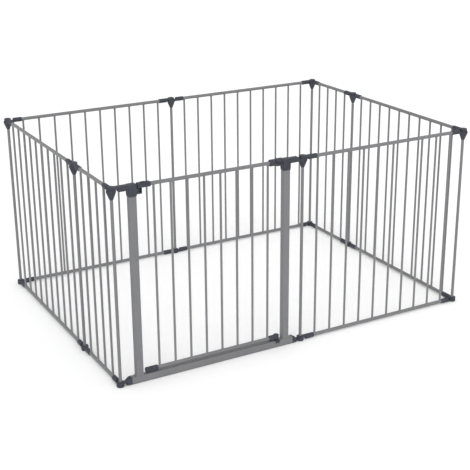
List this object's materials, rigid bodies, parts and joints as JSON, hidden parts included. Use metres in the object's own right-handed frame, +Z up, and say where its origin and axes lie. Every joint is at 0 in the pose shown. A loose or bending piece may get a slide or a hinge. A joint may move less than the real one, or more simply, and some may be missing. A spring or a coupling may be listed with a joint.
{
  "type": "playpen",
  "caption": "rectangular modular playpen of steel grille panels hinged at round posts with plastic knuckles, with a latched swing door in the front",
  "frame": {"origin": "on the floor under the middle of the rectangular plan", "axes": "+X along the front from the latch side to the right, +Y from the door towards the back, +Z up"},
  "size_m": [1.473, 1.077, 0.712],
  "materials": {
    "steel": "satin grey powder coat, slightly grained",
    "plastic": "dark slate moulded plastic, fine grain"
  },
  "bodies": {
    "gate_frame": {"gate_post_left": "steel", "gate_post_right": "steel", "threshold_beam": "steel", "gate_cap_left": "plastic", "gate_cap_right": "plastic", "beam_end_left": "plastic", "beam_end_right": "plastic", "gate_hinge_post": "steel", "door_pivot_lower": "plastic"},
    "door": {"door_grille": "steel", "door_hinge_sleeve_top": "plastic", "door_hinge_sleeve_bottom": "plastic", "door_latch_sleeve_bottom": "plastic", "latch_housing": "plastic"},
    "button": {"latch_button": "plastic"},
    "bolt": {"latch_bolt": "plastic"},
    "front_right_panel": {"front_right_grille": "steel", "front_right_knuckle_top_start": "plastic", "front_right_knuckle_bottom_start": "plastic", "front_right_knuckle_top_end": "plastic", "front_right_knuckle_bottom_end": "plastic", "front_right_hinge_post": "steel"},
    "right_long_panel": {"right_long_grille": "steel", "right_long_knuckle_top_start": "plastic", "right_long_knuckle_bottom_start": "plastic", "right_long_knuckle_top_end": "plastic", "right_long_knuckle_bottom_end": "plastic", "right_long_hinge_post": "steel"},
    "rear_right_corner": {"right_short_grille": "steel", "right_short_knuckle_top_start": "plastic", "right_short_knuckle_bottom_start": "plastic", "right_short_knuckle_top_end": "plastic", "right_short_knuckle_bottom_end": "plastic", "right_short_hinge_post": "steel", "back_right_grille": "steel", "back_right_knuckle_top_start": "plastic", "back_right_knuckle_bottom_start": "plastic", "back_right_knuckle_top_end": "plastic", "back_right_knuckle_bottom_end": "plastic", "back_right_hinge_post": "steel"},
    "back_left_panel": {"back_left_grille": "steel", "back_left_knuckle_top_start": "plastic", "back_left_knuckle_bottom_start": "plastic", "back_left_knuckle_top_end": "plastic", "back_left_knuckle_bottom_end": "plastic", "back_left_hinge_post": "steel"},
    "left_short_panel": {"left_short_grille": "steel", "left_short_knuckle_top_start": "plastic", "left_short_knuckle_bottom_start": "plastic", "left_short_knuckle_top_end": "plastic", "left_short_knuckle_bottom_end": "plastic", "left_short_hinge_post": "steel"},
    "left_long_panel": {"left_long_grille": "steel", "left_long_knuckle_top_start": "plastic", "left_long_knuckle_bottom_start": "plastic", "left_long_knuckle_top_end": "plastic", "left_long_knuckle_bottom_end": "plastic", "left_long_hinge_post": "steel"}
  },
  "joints": [
    {"name": "front_middle_hinge", "type": "hinge", "parent": "gate_frame", "child": "front_right_panel", "pos_m": [0, -0.522, 0.35], "axis": [0, 0, 1], "range_deg": [-40, 25]},
    {"name": "front_left_hinge", "type": "hinge", "parent": "gate_frame", "child": "left_short_panel", "pos_m": [-0.72, -0.522, 0.35], "axis": [0, 0, 1], "range_deg": [-40, 25]},
    {"name": "front_right_hinge", "type": "hinge", "parent": "front_right_panel", "child": "right_long_panel", "pos_m": [0.72, -0.522, 0.35], "axis": [0, 0, 1], "range_deg": [-60, 15]},
    {"name": "left_middle_hinge", "type": "hinge", "parent": "left_short_panel", "child": "left_long_panel", "pos_m": [-0.72, -0.198, 0.35], "axis": [0, 0, 1], "range_deg": [-60, 15]},
    {"name": "right_middle_hinge", "type": "hinge", "parent": "right_long_panel", "child": "rear_right_corner", "pos_m": [0.72, 0.198, 0.35], "axis": [0, 0, 1], "range_deg": [-15, 60]},
    {"name": "back_middle_hinge", "type": "hinge", "parent": "rear_right_corner", "child": "back_left_panel", "pos_m": [0, 0.522, 0.35], "axis": [0, 0, 1], "range_deg": [-25, 40]},
    {"name": "door_swing", "type": "hinge", "parent": "gate_frame", "child": "door", "pos_m": [-0.104, -0.522, 0.35], "axis": [0, 0, 1], "range_deg": [0, 90]},
    {"name": "latch_button_slide", "type": "slide", "parent": "door", "child": "button", "axis": [1, 0, 0], "range_m": [0, 0.008], "stiffness_N_per_m": 400},
    {"name": "latch_bolt_lift", "type": "slide", "parent": "door", "child": "bolt", "axis": [0, 0, 1], "range_m": [0, 0.008]}
  ],
  "couplings": [
    {"joint": "front_left_hinge", "follows": "front_middle_hinge", "ratio": 1},
    {"joint": "back_middle_hinge", "follows": "front_middle_hinge", "ratio": -1},
    {"joint": "left_middle_hinge", "follows": "front_right_hinge", "ratio": 1},
    {"joint": "right_middle_hinge", "follows": "front_right_hinge", "ratio": -1},
    {"joint": "latch_bolt_lift", "follows": "latch_button_slide", "ratio": 1}
  ]
}
